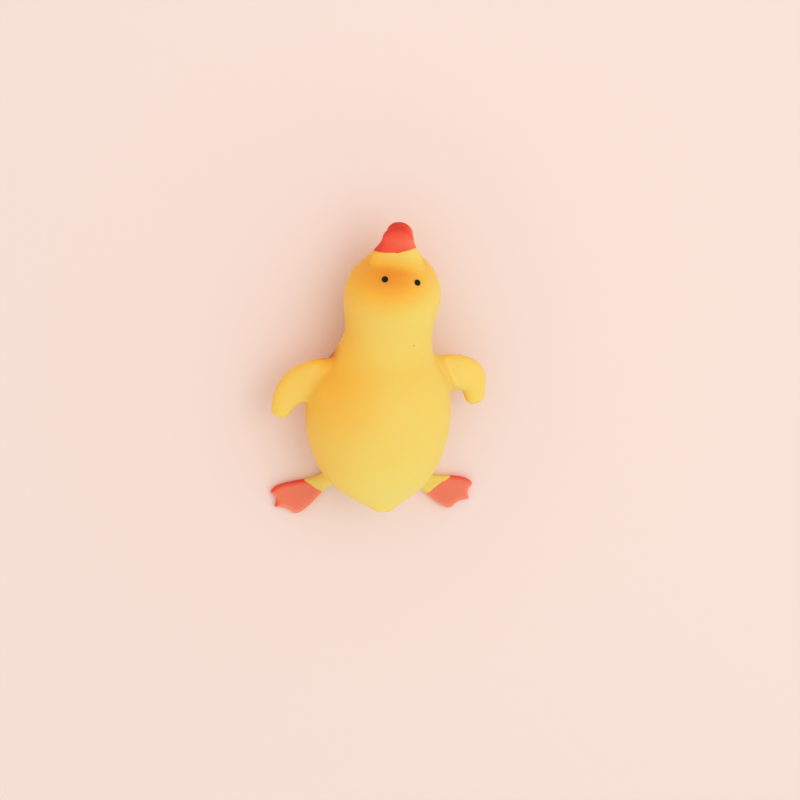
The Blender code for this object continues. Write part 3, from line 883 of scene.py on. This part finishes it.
# %% Lay the paths on the skin and press them
Crease = namedtuple("Crease", "name width depth points")
CREASES = [
    Crease(
        name="left_wing_fold",
        width=0.0026,
        depth=0.0003,
        points=[(-0.0205, 0.0192), (-0.0231, 0.0166), (-0.0258, 0.0115), (-0.0276, 0.0060)],
    ),
    Crease(
        name="right_wing_fold",
        width=0.0026,
        depth=0.0006,
        points=[(0.0217, 0.0188), (0.0239, 0.0143), (0.0260, 0.0099), (0.0272, 0.0068)],
    ),
    Crease(
        name="right_wing_ridge",
        width=0.0022,
        depth=-0.0005,
        points=[(0.0248, 0.0182), (0.0265, 0.0139), (0.0291, 0.0089)],
    ),
    Crease(
        name="right_wing_groove",
        width=0.0019,
        depth=0.0003,
        points=[(0.0270, 0.0176), (0.0285, 0.0140), (0.0299, 0.0109)],
    ),
]
PATH_STEPS = 8


def laid_path(crease):
    """Draw a crease's path through its points and lay it on the skin from above."""
    corners = [Vector((*point, 0)) for point in crease.points]
    points = [
        start.lerp(end, step / PATH_STEPS)
        for start, end in zip(corners, corners[1:])
        for step in range(PATH_STEPS)
    ]
    points.append(corners[-1])
    laid = [skin.ray_cast(point + UP, -UP)[1] for point in points]
    mesh = bpy.data.meshes.new(crease.name)
    mesh.from_pydata(laid, [(i, i + 1) for i in range(len(laid) - 1)], [])
    path = bpy.data.objects.new(crease.name, mesh)
    scene.collection.objects.link(path)
    return path


paths = [laid_path(crease) for crease in CREASES]
for crease, path in zip(CREASES, paths):
    pressing = {"Path": path, "Width": crease.width, "Depth": crease.depth, "Material": rubber}
    use_tree(skin, press, pressing)
bake(skin)
for path in paths:
    bpy.data.objects.remove(path, do_unlink=True)
print("creases and ridges:", len(CREASES))

# %% [markdown]
# ## The eyes
#
# Each eye is a drop of black gloss paint. A flattened sphere, half sunk in the skin where a ray
# from above meets it, gives the drop its clean round rim. The enamel has flowed a little unevenly,
# so a fine noise varies its black, its gloss and its relief.

# %% The eyes
EYE_RADIUS = 0.0012
EYE_HEIGHT = 0.0006
EYE_PLACES = {"left": (-0.0002, 0.0513), "right": (0.0117, 0.0498)}
EYE_SEGMENTS = 40
EYE_ROWS = 20
ENAMEL_BLACKS = ("#070405", "#100A0D")
ENAMEL_ROUGHNESS = (0.16, 0.26)
ENAMEL_FLOW_SIZE = 0.0006
ENAMEL_FLOW_HEIGHT = 0.00004
ENAMEL_FLOW_STRENGTH = 0.15

enamel = bpy.data.materials.new("glossy_black_enamel")
enamel.use_nodes = True
gloss = enamel.node_tree
gloss.nodes.clear()
eye_place = add_node(gloss, "ShaderNodeTexCoord").outputs["Object"]
flow = noise(gloss, eye_place, ENAMEL_FLOW_SIZE, detail=2.0)
dulling = {"Value": flow, "To Min": ENAMEL_ROUGHNESS[0], "To Max": ENAMEL_ROUGHNESS[1]}
ripple = {"Height": flow, "Strength": ENAMEL_FLOW_STRENGTH, "Distance": ENAMEL_FLOW_HEIGHT}
enamel_shader = add_node(
    gloss,
    "ShaderNodeBsdfPrincipled",
    {
        "Base Color": mixed_colour(gloss, flow, linear(ENAMEL_BLACKS[0]), linear(ENAMEL_BLACKS[1])),
        "Roughness": add_node(gloss, "ShaderNodeMapRange", dulling).outputs[0],
        "Normal": add_node(gloss, "ShaderNodeBump", ripple).outputs[0],
        "Specular IOR Level": 0.20,
    },
)
add_node(gloss, "ShaderNodeOutputMaterial", {"Surface": enamel_shader.outputs[0]})

for side in SIDES:
    _, seat, out, _ = skin.ray_cast(Vector((*EYE_PLACES[side], 0)) + UP, -UP)
    drop = bmesh.new()
    bmesh.ops.create_uvsphere(drop, u_segments=EYE_SEGMENTS, v_segments=EYE_ROWS, radius=1)
    turned_out = out.to_track_quat("Z", "Y").to_matrix().to_4x4()
    flattened = Matrix.Diagonal((EYE_RADIUS, EYE_RADIUS, EYE_HEIGHT, 1))
    seated = Matrix.Translation(seat) @ turned_out @ flattened
    bmesh.ops.transform(drop, matrix=seated, verts=drop.verts)
    eye = bpy.data.objects.new(f"{side}_eye", bpy.data.meshes.new(f"{side}_eye"))
    scene.collection.objects.link(eye)
    drop.to_mesh(eye.data)
    drop.free()
    eye.data.shade_smooth()
    eye.data.materials.append(enamel)
    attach(eye, "root")
    print(eye.name, "at", [round(1000 * c, 1) for c in seat], "mm")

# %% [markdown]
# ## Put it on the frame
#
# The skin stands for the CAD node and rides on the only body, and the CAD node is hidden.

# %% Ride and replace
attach(skin, "root")
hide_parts("duck")
